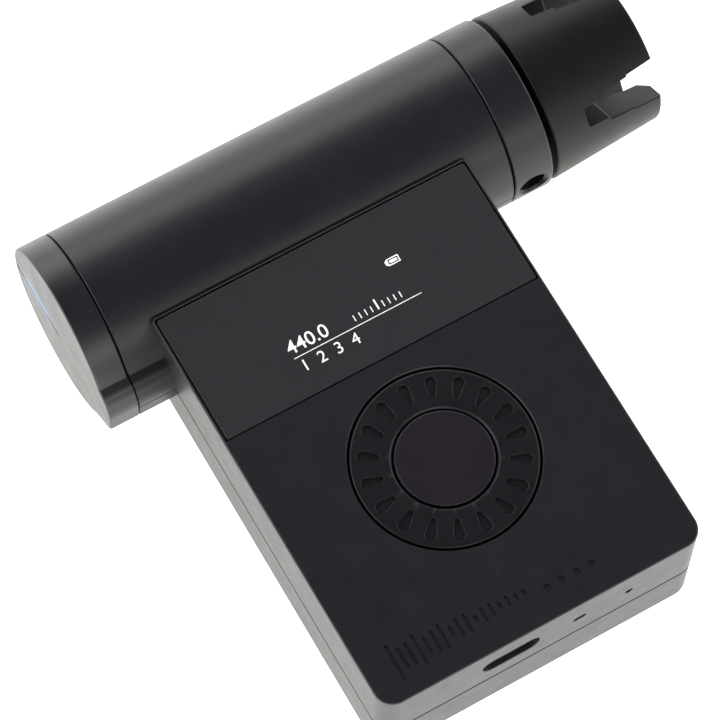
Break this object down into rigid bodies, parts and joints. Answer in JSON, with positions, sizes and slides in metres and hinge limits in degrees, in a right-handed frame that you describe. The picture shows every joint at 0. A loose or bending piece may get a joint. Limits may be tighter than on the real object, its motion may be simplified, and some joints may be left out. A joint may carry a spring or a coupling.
{
  "type": "motorised string tuner",
  "caption": "Hand-held motorised string tuner with a display, a dial with a select button, and a geared peg holder that turns a bass guitar's tuning keys.",
  "frame": {"origin": "under the middle of the whole object's box, on the surface it lies on, display up", "axes": "+X along the barrel towards the peg holder, -Y towards the USB end of the hand unit, +Z out of the display"},
  "size_m": [0.0954, 0.0896, 0.0273],
  "materials": {
    "case": "satin black moulded plastic with a fine texture",
    "panel": "dark tinted display panel, satin-gloss",
    "dial": "satin black, slightly smoother than the case",
    "holder": "satin black glass-filled plastic",
    "steel": "plain steel",
    "brass": "turned brass",
    "board": "green solder mask",
    "chip": "black epoxy",
    "cell": "printed foil wrap, plain",
    "foam": "foam pad",
    "nylon": "natural nylon",
    "clear": "frosted clear plastic, faintly blue where lit"
  },
  "bodies": {
    "housing": {"front_shell": "case", "rear_cover": "case", "display_window": "panel", "display_module": "chip", "dial_retainer": "nylon", "select_switch": "steel", "main_board": "board", "usb_c_port": "steel", "microphone": "steel", "status_light_pipe": "clear", "radio_shield": "steel", "processor_chip": "chip", "battery": "cell", "battery_pad": "foam", "case_screw_1": "steel", "case_screw_2": "steel", "case_screw_3": "steel", "case_screw_4": "steel", "board_screw_1": "steel", "board_screw_2": "steel", "end_cap": "case", "light_guide": "clear", "light_board": "board", "light_emitter": "nylon", "vibration_sensor": "brass", "motor_can": "steel", "motor_end_bell": "nylon", "motor_magnet_1": "chip", "motor_magnet_2": "chip", "gearbox_ring": "steel", "gearbox_front_plate": "steel", "gearbox_screw_1": "steel", "gearbox_screw_2": "steel", "gearbox_screw_3": "steel", "output_bushing": "brass", "thrust_washer": "nylon", "collar": "case"},
    "peg_drive": {"peg_holder": "holder", "carrier_b": "steel", "set_screw": "steel"},
    "first_carrier": {"carrier_a": "steel"},
    "rotor": {"rotor": "steel"},
    "planet_a_1": {"planet_a_1": "nylon"},
    "planet_a_2": {"planet_a_2": "nylon"},
    "planet_a_3": {"planet_a_3": "nylon"},
    "planet_b_1": {"planet_b_1": "steel"},
    "planet_b_2": {"planet_b_2": "steel"},
    "planet_b_3": {"planet_b_3": "steel"},
    "dial": {"dial_ring": "dial", "encoder_ring": "steel"},
    "select": {"select_button": "dial", "switch_plunger": "nylon"}
  },
  "joints": [
    {"name": "peg_holder_spin", "type": "hinge", "parent": "housing", "child": "peg_drive", "pos_m": [0.0291, 0.03118, 0.01365], "axis": [1, 0, 0], "continuous": true},
    {"name": "first_carrier_spin", "type": "hinge", "parent": "housing", "child": "first_carrier", "pos_m": [0.00655, 0.03118, 0.01365], "axis": [1, 0, 0], "continuous": true},
    {"name": "rotor_spin", "type": "hinge", "parent": "housing", "child": "rotor", "pos_m": [-0.02325, 0.03118, 0.01365], "axis": [1, 0, 0], "continuous": true},
    {"name": "planet_a_1_spin", "type": "hinge", "parent": "first_carrier", "child": "planet_a_1", "pos_m": [0.00155, 0.03709, 0.01365], "axis": [1, 0, 0], "continuous": true},
    {"name": "planet_a_2_spin", "type": "hinge", "parent": "first_carrier", "child": "planet_a_2", "pos_m": [0.00155, 0.02822, 0.01877], "axis": [1, 0, 0], "continuous": true},
    {"name": "planet_a_3_spin", "type": "hinge", "parent": "first_carrier", "child": "planet_a_3", "pos_m": [0.00155, 0.02822, 0.00853], "axis": [1, 0, 0], "continuous": true},
    {"name": "planet_b_1_spin", "type": "hinge", "parent": "peg_drive", "child": "planet_b_1", "pos_m": [0.00865, 0.03709, 0.01365], "axis": [1, 0, 0], "continuous": true},
    {"name": "planet_b_2_spin", "type": "hinge", "parent": "peg_drive", "child": "planet_b_2", "pos_m": [0.00865, 0.02822, 0.01877], "axis": [1, 0, 0], "continuous": true},
    {"name": "planet_b_3_spin", "type": "hinge", "parent": "peg_drive", "child": "planet_b_3", "pos_m": [0.00865, 0.02822, 0.00853], "axis": [1, 0, 0], "continuous": true},
    {"name": "dial_spin", "type": "hinge", "parent": "housing", "child": "dial", "pos_m": [-0.0109, -0.01663, 0.02465], "axis": [0, 0, 1], "continuous": true},
    {"name": "select_press", "type": "slide", "parent": "housing", "child": "select", "axis": [0, 0, -1], "range_m": [0, 0.0004], "stiffness_N_per_m": 900}
  ],
  "couplings": [
    {"joint": "first_carrier_spin", "follows": "peg_holder_spin", "ratio": 4.5},
    {"joint": "rotor_spin", "follows": "peg_holder_spin", "ratio": 20.25},
    {"joint": "planet_a_1_spin", "follows": "peg_holder_spin", "ratio": -12.6},
    {"joint": "planet_a_2_spin", "follows": "peg_holder_spin", "ratio": -12.6},
    {"joint": "planet_a_3_spin", "follows": "peg_holder_spin", "ratio": -12.6},
    {"joint": "planet_b_1_spin", "follows": "peg_holder_spin", "ratio": -2.8},
    {"joint": "planet_b_2_spin", "follows": "peg_holder_spin", "ratio": -2.8},
    {"joint": "planet_b_3_spin", "follows": "peg_holder_spin", "ratio": -2.8}
  ]
}
